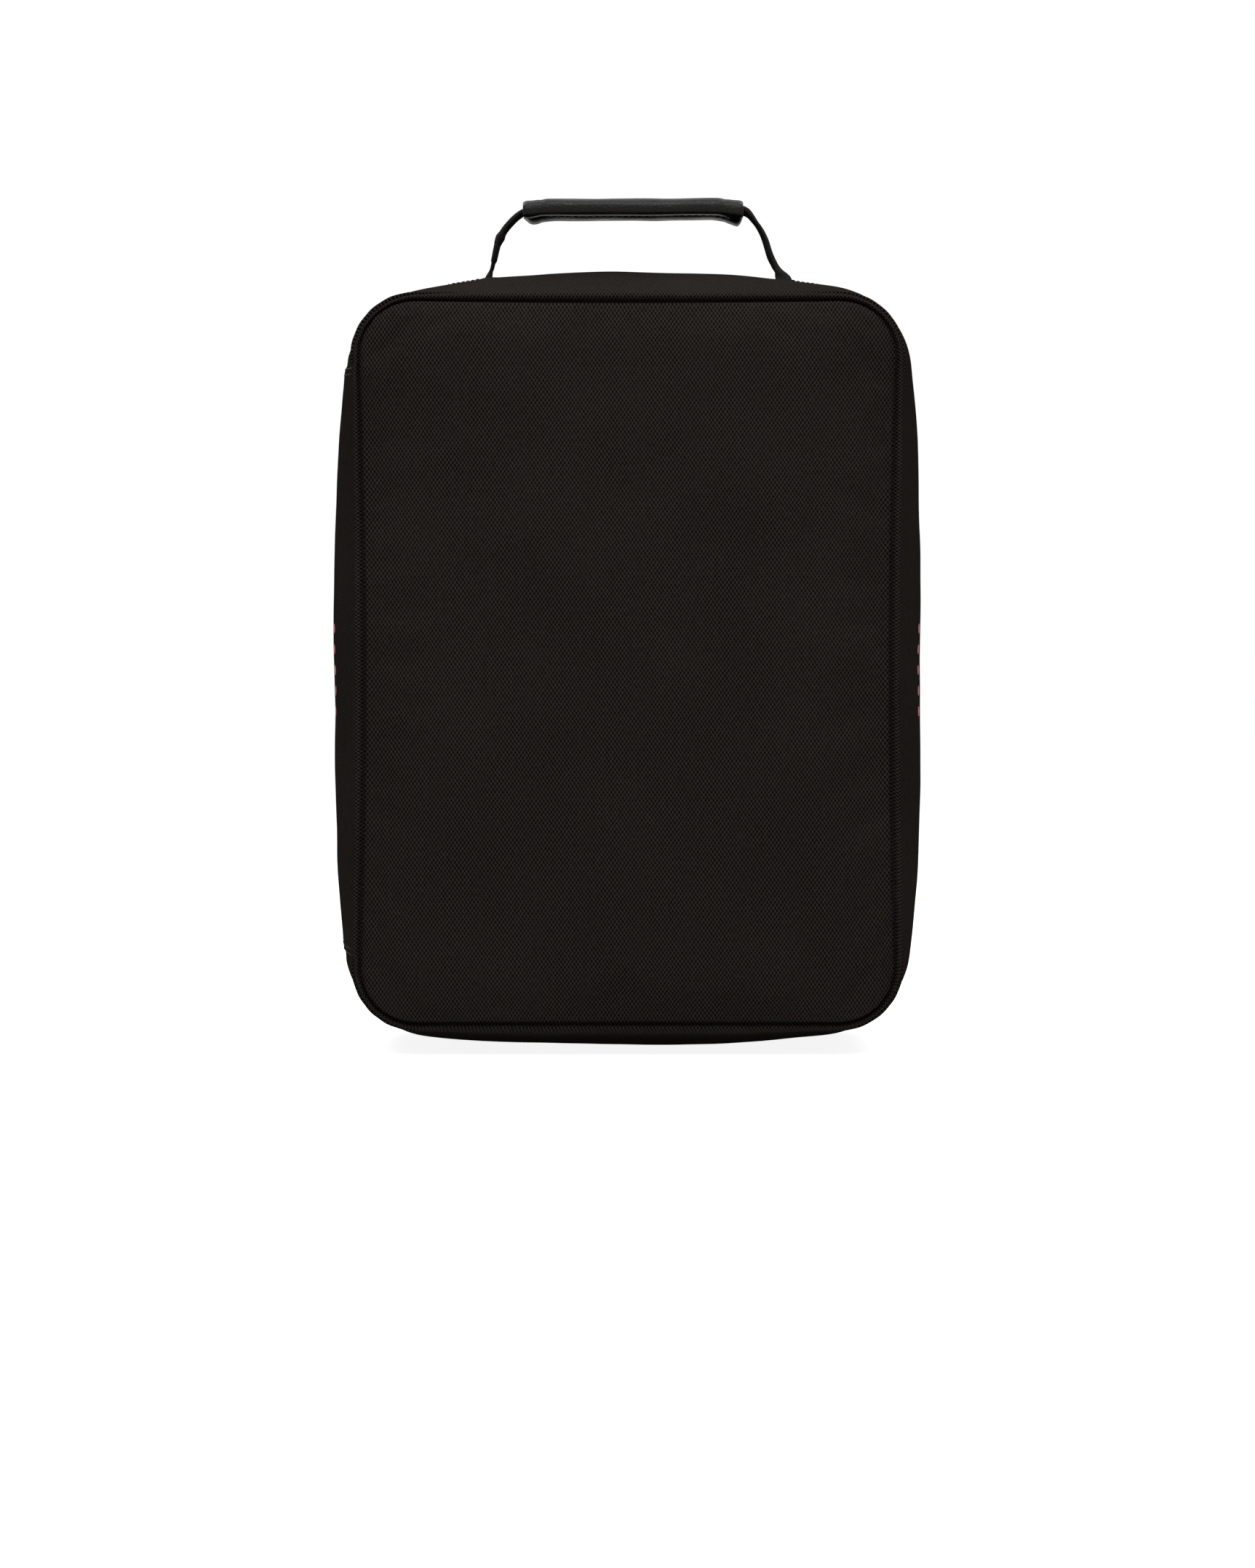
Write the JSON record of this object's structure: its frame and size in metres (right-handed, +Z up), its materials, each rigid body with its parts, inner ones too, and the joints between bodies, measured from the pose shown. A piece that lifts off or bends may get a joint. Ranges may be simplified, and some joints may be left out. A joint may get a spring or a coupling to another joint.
{
  "type": "shoe bag",
  "caption": "Soft box-shaped shoe bag with a padded clamshell lid, a zip round three sides, a cloth hinge on one side and a short carry handle on top.",
  "frame": {"origin": "centre of the flattened patch under the bag, on the surface that it stands on", "axes": "+Z up towards the handle, -Y out of the plain back panel, +Y out of the lid, +X to the right seen from the back panel"},
  "size_m": [0.266, 0.135, 0.3834],
  "materials": {
    "cloth": "matte",
    "lining": "matte",
    "foam": "matte",
    "tape": "matte",
    "coil": "satin",
    "metal": "satin",
    "webbing": "matte",
    "leather": "satin"
  },
  "bodies": {
    "body": {"anchor_patch_left": "webbing", "anchor_patch_right": "webbing", "back_foam": "foam", "back_lining": "lining", "back_panel": "cloth", "body_gusset": "cloth", "body_gusset_foam": "foam", "body_gusset_lining": "lining", "body_hinge_foam": "foam", "body_hinge_gusset": "cloth", "body_hinge_lining": "lining", "body_seam_binding": "tape", "body_zip_coil": "coil", "body_zip_tape": "tape"},
    "lid": {"lid_foam": "foam", "lid_gusset": "cloth", "lid_gusset_lining": "lining", "lid_hinge_gusset": "cloth", "lid_hinge_lining": "lining", "lid_lining": "lining", "lid_panel": "cloth", "lid_seam_binding": "tape", "lid_zip_coil": "coil", "lid_zip_tape": "tape"},
    "handle": {"handle_webbing": "webbing", "handle_wrap": "leather", "handle_core": "foam"},
    "slider_left": {"slider_left": "metal"},
    "puller_left": {"puller_left": "metal"},
    "slider_right": {"slider_right": "metal"},
    "puller_right": {"puller_right": "metal"}
  },
  "joints": [
    {"name": "lid_hinge", "type": "hinge", "parent": "body", "child": "lid", "pos_m": [-0.12855, 0.042, 0.175], "axis": [0, 0, 1], "range_deg": [0, 180]},
    {"name": "slider_left_travel", "type": "hinge", "parent": "body", "child": "slider_left", "pos_m": [0, 0.042, -0.78293], "axis": [0, -1, 0], "range_deg": [0, 4.33]},
    {"name": "puller_left_swing", "type": "hinge", "parent": "slider_left", "child": "puller_left", "pos_m": [0.00301, 0.04292, 0.34722], "axis": [-0.0012, 0.9615, -0.2748], "range_deg": [0, 100]},
    {"name": "slider_right_travel", "type": "hinge", "parent": "body", "child": "slider_right", "pos_m": [0, 0.042, -0.78293], "axis": [0, 1, 0], "range_deg": [0, 3.1]},
    {"name": "puller_right_swing", "type": "hinge", "parent": "slider_right", "child": "puller_right", "pos_m": [0.02105, 0.04292, 0.34703], "axis": [0.0046, -0.9615, 0.2747], "range_deg": [0, 100]},
    {"name": "handle_fold", "type": "hinge", "parent": "body", "child": "handle", "pos_m": [0.0025, 0.008, 0.34898], "axis": [1, 0, 0], "range_deg": [-58, 58], "stiffness_Nm_per_rad": 0.05, "deforming": ["handle_webbing"]}
  ]
}
